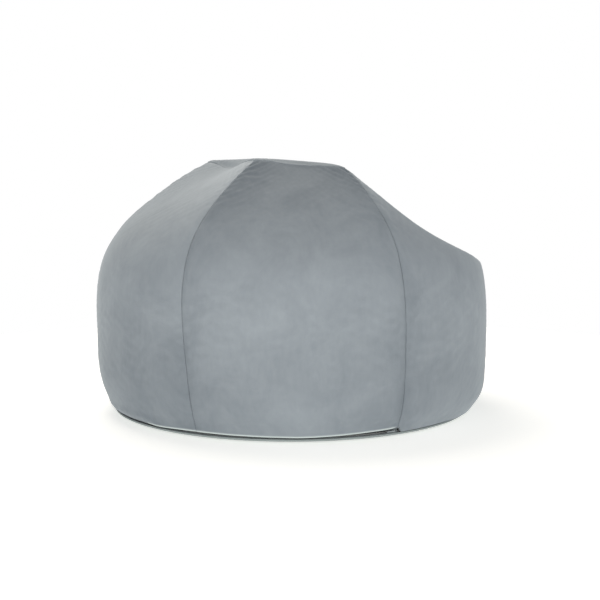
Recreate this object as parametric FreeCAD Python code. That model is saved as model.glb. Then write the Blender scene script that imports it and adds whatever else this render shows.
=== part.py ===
"""Bean bag chair: a cloth cover of six gores, a hexagonal top cap and a round base, with a long zipper
at the foot of the back. Inside are a liner of the same cut with its own zipper, and a filling of beads.
The bag is pressed into a chair: +Z is up, the sitter faces -Y, and the origin is the centre of the base."""
import FreeCAD
import Part
import math
import os

# The round bag before its top is pressed: radius and height along a gore seam, from the foot to the cap
CAP_RADIUS = 206.0
CAP_HEIGHT = 632.0
CAP_CROWN = 4.0
SEAM_LINE = [(452, 8), (480, 60), (497, 190), (494, 310), (462, 424), (384, 512), (CAP_RADIUS, CAP_HEIGHT)]
SIDE_BULGE = 7.0
BULGE_FROM = 20.0
BULGE_FULL = 120.0
SQUARE_FROM = 400.0
CAP_STRETCH = 0.26
TOP_TILT = 0.09

# The seat, pressed into the front half of the top
SEAT_HEIGHT = 330.0
BACKREST_HEIGHT = 619.0
BACKREST_RUN = 132.0
SEAT_FRONT = -330.0
FRONT_RISE = 0.0022
ARM_RISE = 0.00034
EDGE_SOFTNESS = 5.0

# Layers, as depths under the cover's outer face, measured towards the bag's middle
MIDDLE = FreeCAD.Vector(0, -40, 120)
COVER_DEPTHS = (0.0, 2.0)
LINER_DEPTHS = (3.6, 4.6)
FILL_DEPTH = 9.0
FOOT_ROOM = 16.0
FOOT_ROOM_HEIGHT = 70.0
SEAM_GAP_DEG = 0.12
CAP_GAP = 2.0

# Feet of the cover, the liner and the filling. The cloth stands higher where a zipper runs under it
COVER_FOOT = 9.8
COVER_ZIP_FOOT = 20.2
LINER_FOOT = 13.0
LINER_ZIP_FOOT = 22.0
FOOT_RAMP_DEG = 2.5
FOOT_MARGIN_DEG = 1.5
FILL_FOOT = 45.0
FILL_FLOOR = 8.0
FILL_NARROWING = 0.86

# Bases of the cover and the liner: discs whose rims turn up to meet the gores
BASE_OUTLINE = [(0, 0), (432, 0), (447, 2.5), (452, 9), (450, 9), (445.2, 3.9), (431.4, 2), (0, 2)]
LINER_BASE_OUTLINE = [(0, 4), (424, 4), (433, 5.5), (439, 12), (438, 12), (432.4, 6.4), (423.8, 5), (0, 5)]

# Zippers: two rows of coil on tapes along an arc, with a size against a common coil
COVER_ZIP = {"prefix": "zip", "radius": 449.0, "height": 14.8, "from": 105.0, "to": 183.0,
             "slider": 181.4, "size": 1.0, "reach_up": 12.0, "reach_down": 5.8}
LINER_ZIP = {"prefix": "liner_zip", "radius": 435.6, "height": 17.2, "from": 15.0, "to": 62.0,
             "slider": 60.4, "size": 0.8, "reach_up": 8.0, "reach_down": 5.8}
COIL = 1.7
COIL_OFFSET = 1.9
COIL_INSET_DEG = 1.0
TAPE = 0.7
TAPE_CLEARANCE = 0.1
PLATE = (0.9, 9.0, 7.0)
PLATE_OFFSET = 1.7
WEDGE = (3.4, 2.4, 1.1)
STOP = (2.2, 1.6, 5.2)
STOP_INSET_DEG = 0.55

# Pull of the cover zipper: a tab that turns on an upright bar held off the slider
PULL_BAR_OUT = 4.4
PULL_BAR_RADIUS = 0.6
PULL_EYE_RADIUS = 1.4
PULL_POST = (3.0, 1.2, 1.0)
PULL_POST_IN = 1.1
PULL_POST_CLEARANCE = 0.8
PULL_TAB = (1.2, 20.0, 3.4)
PULL_TAB_START = 0.9
PULL_PLAY = 0.05

ROWS_UP = 22
ROWS_ROUND = 9
COVER_GORES = {0: "left_back_panel", 60: "back_panel", 120: "right_back_panel",
               180: "right_front_panel", 240: "front_panel", 300: "left_front_panel"}

CENTRE = FreeCAD.Vector(0, 0, 0)
UP = FreeCAD.Vector(0, 0, 1)
seam_curve = Part.BSplineCurve()
seam_curve.interpolate([FreeCAD.Vector(radius, 0, height) for radius, height in SEAM_LINE])


def point(radius, degrees, height):
    """A point given by its radius, its angle round the vertical axis and its height."""
    angle = math.radians(degrees)
    return FreeCAD.Vector(radius * math.cos(angle), radius * math.sin(angle), height)


def limited(value):
    """A value kept between 0 and 1."""
    return max(0.0, min(1.0, value))


# Outer face of the bag

def seam_place(share):
    """Radius and height on the seam line, at a share of its length from the foot."""
    low = seam_curve.FirstParameter
    place = seam_curve.value(low + share * (seam_curve.LastParameter - low))
    return place.x, place.z


def share_at(height):
    """The share of the seam line that lies below a height near the floor."""
    low, high = 0.0, 0.5
    while high - low > 1e-7:
        middle = (low + high) / 2
        if seam_place(middle)[1] < height:
            low = middle
        else:
            high = middle
    return low


def seat_surface(x, y):
    """Height of the pressed seat over a point of the floor: it rises to the arms, lip and backrest."""
    seat = SEAT_HEIGHT + ARM_RISE * x * x + FRONT_RISE * max(0.0, SEAT_FRONT - y) ** 2
    return seat + (BACKREST_HEIGHT - seat) * math.exp(min(y, BACKREST_RUN) / BACKREST_RUN)


def top_drop(y):
    """How far the cap's plane has sunk towards the front, from its level at the cap's back edge."""
    return TOP_TILT * (CAP_RADIUS * math.cos(math.radians(30)) - y)


def pressed(x, y, z):
    """A point of the round bag, lowered to the seat where the seat is lower, with a soft edge."""
    seat = seat_surface(x, y)
    low, high = min(z, seat), max(z, seat)
    return FreeCAD.Vector(x, y, low - EDGE_SOFTNESS * math.log(1 + math.exp((low - high) / EDGE_SOFTNESS)))


def gore_point(degrees, share):
    """A point of a gore: the bag is round and bulges at its girth, and turns six-sided towards the cap."""
    radius, height = seam_place(share)
    off_centre = degrees % 60 - 30
    if degrees % 60 < 1e-6:
        off_centre = 30
    square = limited((height - SQUARE_FROM) / (CAP_HEIGHT - SQUARE_FROM))
    six_sided = math.cos(math.radians(30)) / math.cos(math.radians(off_centre))
    bulge = SIDE_BULGE * (1 - square) * limited((height - BULGE_FROM) / (BULGE_FULL - BULGE_FROM))
    radius *= 1 + square * (six_sided - 1)
    radius += bulge * math.cos(math.radians(3 * off_centre))
    flat = point(radius, degrees, height)
    return pressed(flat.x * (1 + CAP_STRETCH * square ** 2), flat.y, height - square * top_drop(flat.y))


def cap_point(across, along, half, radius):
    """A point of the cap: across and along run from 0 to 1 over the half of the hexagon from that angle."""
    corners = [point(radius, half + 60 * step, 0) for step in range(4)]
    across, along = [0.5 + math.tan(math.radians(60 * s - 30)) / math.tan(math.radians(30)) / 2
                     for s in (across, along)]
    diagonal = corners[0] * (1 - across) + corners[3] * across
    edge = corners[1] * (1 - across) + corners[2] * across
    flat = diagonal * (1 - along) + edge * along
    crown = CAP_CROWN * limited((math.cos(math.radians(30)) - flat.Length / CAP_RADIUS) * 2)
    return pressed(flat.x * (1 + CAP_STRETCH), flat.y, CAP_HEIGHT + crown - top_drop(flat.y))


def at_depth(place, depth):
    """The same point moved towards the middle of the bag. Inner layers keep clear of the cover's foot."""
    if depth > COVER_DEPTHS[1]:
        depth += FOOT_ROOM * limited(1 - place.z / FOOT_ROOM_HEIGHT)
    inward = MIDDLE - place
    return place + inward * (depth / inward.Length)


def gore_grid(first_degrees, foot, gap):
    """Outer points of one gore, in rows from its foot up to the cap."""
    grid = []
    for step in range(ROWS_ROUND):
        degrees = first_degrees + gap + (60 - 2 * gap) * step / (ROWS_ROUND - 1)
        low = share_at(foot(degrees))
        grid.append([gore_point(degrees, low + (1 - low) * row / (ROWS_UP - 1)) for row in range(ROWS_UP)])
    return grid


def cap_grids(radius):
    """Outer points of the two halves of the cap."""
    steps = [step / (ROWS_ROUND - 1) for step in range(ROWS_ROUND)]
    return [[[cap_point(across, along, half, radius) for along in steps] for across in steps]
            for half in (0, 180)]


def foot_over(zipper, plain, raised):
    """The height of a cloth's lower edge as a function of the angle: raised over a zipper."""
    def foot(degrees):
        into_start = (degrees - zipper["from"] + FOOT_MARGIN_DEG) / FOOT_RAMP_DEG + 1
        into_end = (zipper["to"] + FOOT_MARGIN_DEG - degrees) / FOOT_RAMP_DEG + 1
        return plain + (raised - plain) * limited(min(into_start, into_end))
    return foot


# Solids from grids of points

def knots_for(count):
    """Degree, knots and multiplicities of a smooth curve over a row of poles, tied to its two ends."""
    degree = min(3, count - 1)
    knots = list(range(count - degree + 1))
    return degree, knots, [degree + 1] + [1] * (len(knots) - 2) + [degree + 1]


def patch(poles):
    """A smooth face over a grid of poles, whose border rows fix its edges."""
    degree_a, knots_a, mults_a = knots_for(len(poles))
    degree_b, knots_b, mults_b = knots_for(len(poles[0]))
    surface = Part.BSplineSurface()
    surface.buildFromPolesMultsKnots(poles, mults_a, mults_b, knots_a, knots_b,
                                     False, False, degree_a, degree_b)
    return surface.toShape()


def curve_edge(poles):
    """The edge that a patch has along a border row of its poles."""
    degree, knots, mults = knots_for(len(poles))
    curve = Part.BSplineCurve()
    curve.buildFromPolesMultsKnots(poles, mults, knots, False, degree)
    return curve.toShape()


def closed_solid(faces):
    """One solid from faces whose edges meet."""
    shell = Part.makeShell(faces)
    shell.sewShape()
    solid = Part.Solid(Part.makeShell(shell.Faces))
    solid.fix(0.01, 0.01, 0.01)
    if solid.Volume < 0:
        solid.reverse()
    return solid


def skin_solid(grids, depths, shared_border):
    """A cloth piece: each grid of outer points, its copy deeper in, and strips along its borders."""
    faces = []
    for grid in grids:
        outer, inner = [[[at_depth(place, depth) for place in row] for row in grid] for depth in depths]
        faces += [patch(outer), patch(inner)]
        borders = [(outer[0], inner[0]), (outer[-1], inner[-1])]
        borders.append(([row[-1] for row in outer], [row[-1] for row in inner]))
        if not shared_border:
            borders.append(([row[0] for row in outer], [row[0] for row in inner]))
        faces += [patch(list(border)) for border in borders]
    return closed_solid(faces)


def turned(outline):
    """A closed outline of radius and height, turned round the vertical axis."""
    corners = [point(radius, 0, height) for radius, height in outline]
    return Part.Face(Part.makePolygon(corners + corners[:1])).revolve(CENTRE, UP, 360)


def arc_strip(outline, from_degrees, to_degrees):
    """A closed outline of radius and height, swept along an arc round the vertical axis."""
    corners = [point(radius, from_degrees, height) for radius, height in outline]
    face = Part.Face(Part.makePolygon(corners + corners[:1]))
    return face.revolve(CENTRE, UP, to_degrees - from_degrees)


def arc_bar(radius, height, thickness, from_degrees, to_degrees):
    """A round bar bent along an arc round the vertical axis."""
    along = point(1, from_degrees + 90, 0)
    circle = Part.makeCircle(thickness / 2, point(radius, from_degrees, height), along)
    return Part.Face(Part.Wire([circle])).revolve(CENTRE, UP, to_degrees - from_degrees)


def block(sides, radius, degrees, height):
    """A block centred on a place of the zipper: its sides run outwards, along the chain and upwards."""
    corner = FreeCAD.Vector(*[-side / 2 for side in sides])
    shape = Part.makeBox(*sides, corner)
    shape.rotate(CENTRE, UP, degrees)
    shape.translate(point(radius, degrees, height))
    return shape


# Pieces

def cover_pieces():
    """The gores, the cap and the base of the cover."""
    foot = foot_over(COVER_ZIP, COVER_FOOT, COVER_ZIP_FOOT)
    pieces = {name: skin_solid([gore_grid(degrees, foot, SEAM_GAP_DEG)], COVER_DEPTHS, False)
              for degrees, name in COVER_GORES.items()}
    pieces["top_cap"] = skin_solid(cap_grids(CAP_RADIUS - CAP_GAP), COVER_DEPTHS, True)
    pieces["base_panel"] = turned(BASE_OUTLINE)
    return pieces


def liner_pieces():
    """The liner's gores, cap and base, a little smaller than the cover's."""
    foot = foot_over(LINER_ZIP, LINER_FOOT, LINER_ZIP_FOOT)
    pieces = {"liner_" + name: skin_solid([gore_grid(degrees, foot, SEAM_GAP_DEG)], LINER_DEPTHS, False)
              for degrees, name in COVER_GORES.items()}
    pieces["liner_cap"] = skin_solid(cap_grids(CAP_RADIUS - CAP_GAP), LINER_DEPTHS, True)
    pieces["liner_base"] = turned(LINER_BASE_OUTLINE)
    return pieces


def bead_fill():
    """The beads, as one solid that fills the liner: its sides, its top, and a bottom that narrows."""
    faces = []
    bottom_edges = []
    for degrees in COVER_GORES:
        grid = gore_grid(degrees, lambda angle: FILL_FOOT, 0.0)
        grid = [[at_depth(place, FILL_DEPTH) for place in row] for row in grid]
        foot = [row[0] for row in grid]
        floor = [FreeCAD.Vector(at.x * FILL_NARROWING, at.y * FILL_NARROWING, FILL_FLOOR) for at in foot]
        faces += [patch(grid), patch([foot, floor])]
        bottom_edges.append(curve_edge(floor))
    for grid in cap_grids(CAP_RADIUS):
        faces.append(patch([[at_depth(place, FILL_DEPTH) for place in row] for row in grid]))
    faces.append(Part.Face(Part.Wire(Part.__sortEdges__(bottom_edges))))
    return closed_solid(faces)


def zipper_pieces(zipper):
    """Tapes, coil rows, stops and slider of one zipper. The rows stand apart so that the wedge can pass."""
    radius, height, size = zipper["radius"], zipper["height"], zipper["size"]
    start, end = zipper["from"], zipper["to"]
    prefix = zipper["prefix"]
    pieces = {}
    for name, side, reach in (("upper", 1, zipper["reach_up"]), ("lower", -1, zipper["reach_down"])):
        near = height + side * size * (COIL_OFFSET + COIL / 2 + TAPE_CLEARANCE)
        far = height + side * reach
        inner, outer = radius - TAPE * size / 2, radius + TAPE * size / 2
        outline = [(inner, near), (outer, near), (outer, far), (inner, far)]
        pieces[f"{prefix}_{name}_tape"] = arc_strip(outline, start, end)
        coil_height = height + side * size * COIL_OFFSET
        pieces[f"{prefix}_{name}_coil"] = arc_bar(radius, coil_height, COIL * size,
                                                  start + COIL_INSET_DEG, end - COIL_INSET_DEG)
    stop = [side * size for side in STOP]
    stops = [block(stop, radius, degrees, height)
             for degrees in (start + STOP_INSET_DEG, end - STOP_INSET_DEG)]
    pieces[f"{prefix}_stops"] = Part.makeCompound(stops)
    plate = [side * size for side in PLATE]
    plates = [block(plate, radius + side * PLATE_OFFSET * size, zipper["slider"], height)
              for side in (1, -1)]
    wedge = block([side * size for side in WEDGE], radius, zipper["slider"], height)
    pieces[f"{prefix}_slider"] = wedge.fuse(plates).removeSplitter()
    return pieces


def add_pull(pieces):
    """The bar on the cover slider's outer plate, with its two posts, and the pull tab that turns on it."""
    degrees, height = COVER_ZIP["slider"], COVER_ZIP["height"]
    radius = COVER_ZIP["radius"] + PULL_BAR_OUT
    thick, long, tall = PULL_TAB
    half_bar = tall / 2 + PULL_POST_CLEARANCE
    bar = Part.makeCylinder(PULL_BAR_RADIUS, 2 * half_bar, point(radius, degrees, height - half_bar))
    posts = [block(PULL_POST, radius - PULL_POST_IN, degrees, height + side * half_bar)
             for side in (1, -1)]
    pieces["zip_slider"] = pieces["zip_slider"].fuse([bar] + posts).removeSplitter()
    foot = point(radius, degrees, height - tall / 2)
    eye = Part.makeCylinder(PULL_EYE_RADIUS, tall, foot)
    tab = Part.makeBox(thick, long, tall, FreeCAD.Vector(0, -long - PULL_TAB_START, -tall / 2))
    tab.rotate(CENTRE, UP, degrees)
    tab.translate(point(radius, degrees, height))
    hole = Part.makeCylinder(PULL_BAR_RADIUS + PULL_PLAY, tall, foot)
    pieces["zip_pull"] = eye.fuse(tab).cut(hole).removeSplitter()


pieces = cover_pieces()
pieces.update(liner_pieces())
pieces["bead_fill"] = bead_fill()
pieces.update(zipper_pieces(COVER_ZIP))
add_pull(pieces)
pieces.update(zipper_pieces(LINER_ZIP))
os.makedirs("parts", exist_ok=True)
for name, shape in pieces.items():
    shape.exportStep(f"parts/{name}.step")
    print(name, shape.isValid(), len(shape.Solids), round(shape.Volume), shape.BoundBox)
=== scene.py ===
import math
import bpy
import numpy as np
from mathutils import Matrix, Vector, noise


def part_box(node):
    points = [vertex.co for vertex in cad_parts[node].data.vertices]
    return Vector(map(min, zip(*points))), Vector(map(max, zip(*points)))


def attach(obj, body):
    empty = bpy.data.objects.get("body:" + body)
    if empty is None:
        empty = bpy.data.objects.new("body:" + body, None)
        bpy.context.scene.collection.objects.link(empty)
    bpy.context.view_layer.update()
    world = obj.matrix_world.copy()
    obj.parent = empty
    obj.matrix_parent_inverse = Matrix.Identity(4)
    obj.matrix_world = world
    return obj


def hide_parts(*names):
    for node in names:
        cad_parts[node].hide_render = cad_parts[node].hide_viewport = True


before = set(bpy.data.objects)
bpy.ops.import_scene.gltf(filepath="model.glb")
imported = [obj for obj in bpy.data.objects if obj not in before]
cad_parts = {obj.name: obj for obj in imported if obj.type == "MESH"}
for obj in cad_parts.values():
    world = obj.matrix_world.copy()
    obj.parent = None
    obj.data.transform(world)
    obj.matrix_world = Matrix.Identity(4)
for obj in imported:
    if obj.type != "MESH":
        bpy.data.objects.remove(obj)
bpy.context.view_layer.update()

# ---------------------------------------------------------------------------------------------------
# Cut of the cover. Six equal gores run from the base to a hexagonal cap. Stuffed, they make a round bag
# with a cone on top, and pressing its front half down makes the seat, the arms and the raised back.
# The foot stands on the base and the cap's height is the frame's; every length is in metres.

GORES = ["left_back_panel", "back_panel", "right_back_panel",
         "right_front_panel", "front_panel", "left_front_panel"]
CAP_RADIUS = 0.206
CAP_APOTHEM = CAP_RADIUS * math.cos(math.pi / 6)
CAP_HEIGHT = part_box("back_panel")[1].z
CAP_TILT, CAP_WIDENING, CAP_DOME = 0.09, 0.26, 0.008
CAP_PUFF, CAP_PUFF_SPAN = 0.006, 0.014
BACK_SAG, SIDE_SAG, SAG_SPAN = 0.021, 0.007, 0.016
SEAM_LINE = [(0.456, 0.010), (0.478, 0.060), (0.4930, 0.190), (0.4915, 0.310), (0.462, 0.424),
             (0.384, 0.512), (CAP_RADIUS, CAP_HEIGHT)]
SHOULDER_HEIGHT, SHOULDER_SPAN = 0.400, 0.040
SEAT_HEIGHT, ARM_RISE = 0.330, 0.34
LIP_Y, LIP_RISE = -0.330, 2.2
BACK_HEIGHT, BACK_CURVE = 0.619, 0.132
PRESS_SOFTNESS = 0.0025
# Each seam's even place, and how far off it was sewn at its foot and all along it, in degrees
SEAM_DRIFTS = [(0, -0.8, 0.5), (60, 0.9, -0.4), (120, 2.3, 0.1),
               (180, 0.3, 1.5), (240, -1.2, 0.4), (300, 0.6, -0.8)]
GORE_BULGE = 0.007
# Where the foot slumps outwards, in degrees: the middle, the width and the share of the full slump
SLUMPS = [(232, 34, 1.0), (320, 30, 0.5)]
SLUMP, SLUMP_HEIGHT, SLUMP_SPAN = 0.010, 0.045, 0.05
DENT, DENT_DEGREES, DENT_WIDTH, DENT_HEIGHT, DENT_SPAN = 0.010, 72, 26, 0.545, 0.07
COLUMNS = 36
ROWS = 60


def smooth_step(low, high, value):
    share = np.clip((value - low) / (high - low), 0, 1)
    return share * share * (3 - 2 * share)


def bell(value, middle, width):
    return np.exp(-((value - middle) / width) ** 2)


def natural_spline(points, at):
    """The smooth curve through a few points, at shares of its length from 0 to 1."""
    points = np.array(points, float)
    gaps = np.linalg.norm(np.diff(points, axis=0), axis=1)
    knots = np.concatenate([[0], np.cumsum(gaps)]) / gaps.sum()
    count, steps = len(points), np.diff(knots)
    matrix, right = np.eye(count), np.zeros_like(points)
    for k in range(1, count - 1):
        matrix[k, k - 1:k + 2] = steps[k - 1], 2 * (steps[k - 1] + steps[k]), steps[k]
        right[k] = 6 * ((points[k + 1] - points[k]) / steps[k] - (points[k] - points[k - 1]) / steps[k - 1])
    bend = np.linalg.solve(matrix, right)
    k = np.clip(np.searchsorted(knots, at) - 1, 0, count - 2)
    a = ((knots[k + 1] - at) / steps[k])[..., None]
    b = 1 - a
    span = (steps[k] ** 2)[..., None] / 6
    return a * points[k] + b * points[k + 1] + ((a ** 3 - a) * bend[k] + (b ** 3 - b) * bend[k + 1]) * span


def press(x, y, z):
    """Lowers the round bag's top to the seat: a hollow between two arms, under a back that curves up."""
    seat = SEAT_HEIGHT + ARM_RISE * x ** 2 + LIP_RISE * np.clip(LIP_Y - y, 0, None) ** 2
    seat = seat + (BACK_HEIGHT - seat) * np.exp(np.minimum(y, BACK_CURVE) / BACK_CURVE)
    low, high = np.minimum(z, seat), np.maximum(z, seat)
    z = low - PRESS_SOFTNESS * np.log1p(np.exp((low - high) / PRESS_SOFTNESS))
    return np.stack([x, y, z], axis=-1)


def seam_drift(degrees, height):
    """How far a seam was sewn off its even place, in degrees, as a function of the height."""
    drift = np.zeros(np.broadcast(degrees, height).shape)
    foot = 1 - smooth_step(0.05, 0.36, height)
    body = 1 - smooth_step(0.44, 0.60, height)
    for seam, at_foot, all_over in SEAM_DRIFTS:
        away = np.abs((degrees - seam + 180) % 360 - 180) / 60
        drift += np.clip(1 - away, 0, 1) * (at_foot * foot + all_over * body)
    return drift


def squareness(height):
    """How far the round bag has become the cap's hexagon: 0 below its shoulder, rising to 1 at the cap."""
    above, top = height - SHOULDER_HEIGHT, CAP_HEIGHT - SHOULDER_HEIGHT
    return (above + np.hypot(above, SHOULDER_SPAN)) / (top + math.hypot(top, SHOULDER_SPAN))


def cap_sag(degrees):
    """How far the cap's seam sags between the corners of the hexagon. It sags most over the back gore."""
    side = np.floor(degrees / 60) % 6
    depth = np.where(side == GORES.index("back_panel"), BACK_SAG, SIDE_SAG)
    return depth * np.cos(np.radians(3 * (degrees % 60 - 30))) ** 2


def bag_side(degrees, share):
    """Points of the gores, at angles round the bag and shares of the way from the foot to the cap."""
    place = natural_spline(SEAM_LINE, share)
    radius, height = place[..., 0], place[..., 1]
    off_centre = np.radians(degrees % 60 - 30)
    square = squareness(height)
    radius = radius * (1 + square * (math.cos(math.pi / 6) / np.cos(off_centre) - 1))
    bulge = GORE_BULGE * (1 - square) * smooth_step(0.0, 0.12, height)
    radius = radius + bulge * np.cos(3 * off_centre)
    slump = sum(part * bell(degrees, middle, width) for middle, width, part in SLUMPS)
    radius = radius + SLUMP * slump * bell(height, SLUMP_HEIGHT, SLUMP_SPAN)
    radius = radius - DENT * np.exp(-((degrees - DENT_DEGREES) / DENT_WIDTH) ** 2
                                    - ((height - DENT_HEIGHT) / DENT_SPAN) ** 2)
    angle = np.radians(degrees + seam_drift(degrees, height))
    x, y = radius * np.cos(angle), radius * np.sin(angle)
    drop = CAP_TILT * (CAP_APOTHEM - y) + cap_sag(degrees) * square ** 2
    return press(x * (1 + CAP_WIDENING * square ** 2), y, height - square * drop)


def hexagon_depth(x, y):
    """How far a point is inside the cap's flat hexagon."""
    normals = np.radians(30 + 60 * np.arange(6))
    reach = [x * math.cos(a) + y * math.sin(a) for a in normals]
    return CAP_APOTHEM - np.maximum.reduce(reach)


def cap_half(across, along, half):
    """Points of one half of the cap, whose borders meet the gores' top edges."""
    corners = [np.array([math.cos(a), math.sin(a)]) * CAP_RADIUS
               for a in np.radians(half + 60 * np.arange(4))]
    across, along = (0.5 + np.tan(np.pi / 3 * s - np.pi / 6) / math.tan(math.pi / 6) / 2
                     for s in (across, along))
    across, along = across[..., None], along[..., None]
    flat = ((corners[3] * (1 - across) + corners[0] * across) * (1 - along)
            + (corners[2] * (1 - across) + corners[1] * across) * along)
    inside = np.clip(math.cos(math.pi / 6) - np.linalg.norm(flat, axis=-1) / CAP_RADIUS, 0, 0.5)
    x, y = flat[..., 0], flat[..., 1]
    drop = CAP_TILT * (CAP_APOTHEM - y)
    from_rim = np.clip(hexagon_depth(x, y), 0, None)
    drop = drop + cap_sag(np.degrees(np.arctan2(y, x)) % 360) * bell(from_rim, 0, SAG_SPAN)
    puff = CAP_PUFF * (1 - np.exp(-from_rim / CAP_PUFF_SPAN))
    return press(x * (1 + CAP_WIDENING), y, CAP_HEIGHT + CAP_DOME * inside + puff - drop)


def cut_grids(columns, rows):
    """Grids of points: six gores, then the two halves of the cap."""
    across, along = np.meshgrid(np.linspace(0, 1, columns + 1), np.linspace(0, 1, rows + 1), indexing="ij")
    grids = [bag_side(60 * number + 60 * across, along) for number in range(6)]
    across, along = np.meshgrid(*[np.linspace(0, 1, columns + 1)] * 2, indexing="ij")
    return grids + [cap_half(across, along, half) for half in (0, 180)]


# ---------------------------------------------------------------------------------------------------
# The stuffed cover. The cut pieces are sewn into one cloth and blown up a little by the beads, so that
# the gores swell, the seams draw in and small puckers run off them. The seat stays pressed.

CLOTH_FRAMES = 20
FREE_HEIGHT = 0.0115
FREE_HOLD = 0.42
MOST_GIVE = 0.010


def split_like(grids, values):
    """Values at all the points of several grids, parted again into one array for each grid."""
    ends = np.cumsum([grid.shape[0] * grid.shape[1] for grid in grids])
    parts = np.split(values, ends[:-1])
    return [part.reshape(*grid.shape[:2], *values.shape[1:]) for part, grid in zip(parts, grids)]


def join_grids(grids, digits):
    """Joins the shared borders of grids: the points left and which grid points they were, where each
    grid point went, and the faces."""
    points = np.concatenate([grid.reshape(-1, 3) for grid in grids])
    _, first, joined = np.unique(np.round(points, digits), axis=0, return_index=True, return_inverse=True)
    joined = joined.ravel()
    faces = []
    for index in split_like(grids, joined):
        corners = (index[:-1, :-1], index[1:, :-1], index[1:, 1:], index[:-1, 1:])
        faces += np.stack(corners, axis=-1).reshape(-1, 4).tolist()
    return points[first], first, joined, faces


def sewn(grids):
    """One mesh from the grids with their shared borders joined, and where each grid point went."""
    points, _, joined, faces = join_grids(grids, 5)
    mesh = bpy.data.meshes.new("sewn_cover")
    mesh.from_pydata(points.tolist(), [], faces)
    return mesh, joined


def stuffed(grids):
    """The grids after a short cloth simulation, with no point moved further than a real cover gives."""
    mesh, joined = sewn(grids)
    cloth_object = bpy.data.objects.new("sewn_cover", mesh)
    bpy.context.scene.collection.objects.link(cloth_object)
    rest = np.array([v.co for v in mesh.vertices])
    held = cloth_object.vertex_groups.new(name="held")
    seams = cloth_object.vertex_groups.new(name="seams")
    for index in split_like(grids, joined):
        border = np.concatenate([index[0], index[-1], index[:, -1]])
        seams.add(border.tolist(), 1.0, "REPLACE")
        if index.shape[1] == ROWS + 1:
            held.add(index[:, 0].tolist(), 1.0, "REPLACE")
    free = [i for i in range(len(rest)) if rest[i, 2] > FREE_HEIGHT]
    held.add(free, FREE_HOLD, "REPLACE")
    cloth = cloth_object.modifiers.new("cloth", "CLOTH")
    settings = cloth.settings
    settings.quality = 5
    settings.mass = 0.2
    settings.tension_stiffness = settings.compression_stiffness = 25
    settings.shear_stiffness = 8
    settings.bending_stiffness = 0.6
    settings.air_damping = 2
    settings.vertex_group_mass = "held"
    settings.pin_stiffness = 1.0
    settings.vertex_group_shrink = "seams"
    settings.shrink_min = -0.003
    settings.shrink_max = 0.022
    settings.use_pressure = True
    settings.uniform_pressure_force = 3.0
    settings.effector_weights.gravity = 0
    cloth.collision_settings.use_self_collision = False
    for number in range(1, CLOTH_FRAMES + 1):
        bpy.context.scene.frame_set(number)
    evaluated = cloth_object.evaluated_get(bpy.context.evaluated_depsgraph_get())
    moved = np.array([v.co for v in evaluated.data.vertices]) - rest
    bpy.context.scene.frame_set(1)
    bpy.data.objects.remove(cloth_object)
    length = np.linalg.norm(moved, axis=1, keepdims=True)
    moved *= MOST_GIVE * np.tanh(length / MOST_GIVE) / np.maximum(length, 1e-9)
    return split_like(grids, (rest + moved)[joined])


cover_grids = cut_grids(COLUMNS, ROWS)
cover_grids = stuffed(cover_grids)


# ---------------------------------------------------------------------------------------------------
# The six gores of the cover: brushed velvet, cut alike and sewn right sides together, so each seam is a
# thin groove with its allowances pressed open inside. Small puckers run off the seams. Over the zipper
# the back gores' foot is turned up into a flap that stands a little proud and hides the chain.

COVER_CLOTH = 0.0011
GROOVE = 0.0026
ALLOWANCE = [(0.00010, 0.0004), (0.00038, 0.00092), (0.0008, 0.00120), (0.0014, 0.0013),
             (0.0045, 0.00135), (0.0085, 0.0012)]
ZIP_START, ZIP_END = 105.0, 183.0
# Painted light and shade for each gore, as how much paler or darker its colour is drawn: at its foot, its
# middle, its top, one side of its top, and how much painted shade darkens it beside its seams
GORE_PAINTED_SHADING = {"left_back_panel": (-0.08, 0.02, 0.10, 0.10, 0.06),
        "back_panel": (-0.18, -0.03, 0.28, 0.32, 0.0),
        "right_back_panel": (0.0, 0.12, -0.26, 0.0, 0.30),
        "right_front_panel": (-0.05, -0.02, 0.15, 0.0, 0.10),
        "front_panel": (-0.03, 0.06, -0.08, 0.06, 0.08),
        "left_front_panel": (-0.08, 0.0, 0.08, -0.08, 0.05)}
NEAR_SEAM = np.array([0, 0.1, 0.4, 0.9, 1.6, 2.6, 4, 6, 8.5, 11.5, 15, 19, 24]) / 1000
NEAR_FOOT = np.array([0, 1.0, 2.2, 3.6, 5.4, 7.6, 10.2, 13.2]) / 1000
GORE_WIDTH, GORE_LENGTH = 0.50, 0.80
NEAR_PLAIN_EDGE = np.array([0, 0.004])
UNEVEN, FINE_UNEVEN, PUCKER = 0.0030, 0.0005, 0.00042
# In degrees: the flap over the zipper, the slider's parking place and the roll beside the zipper's start
FLAP_START, FLAP_END, FLAP_RAMP = ZIP_START - 1.5, 179.5, 2.5
PORT_START, PORT_END, PORT_RAMP = 180.0, 182.3, 1.3
ROLL_START, ROLL_END, ROLL_RAMP = 74, 102, 8
FOOT_RISE, FLAP_LIFT, LIFT_AT_START, LIFT_AT_END = 0.0036, 0.003, 0.0035, 0.009
FLAP_OUT, FLAP_EDGE_OUT, ROLL_OUT, ROLL_TUCK = 0.0045, 0.0022, 0.005, 0.006
# How far above the flap's folded edge the painted highlight reaches
FOLD_HIGHLIGHT_SPAN = 0.0022
FLAP_FOLD = [(0.0003, -0.0008), (0.0013, -0.0013), (0.0026, -0.0009), (0.0032, 0.001),
             (0.0033, 0.005), (0.0033, 0.009)]
FOOT_FOLD = [(0.0004, -0.0004), (0.0014, -0.0008), (0.0030, -0.0009), (0.0048, -0.0008),
             (0.0066, -0.0006), (0.0085, -0.0003)]


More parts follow.
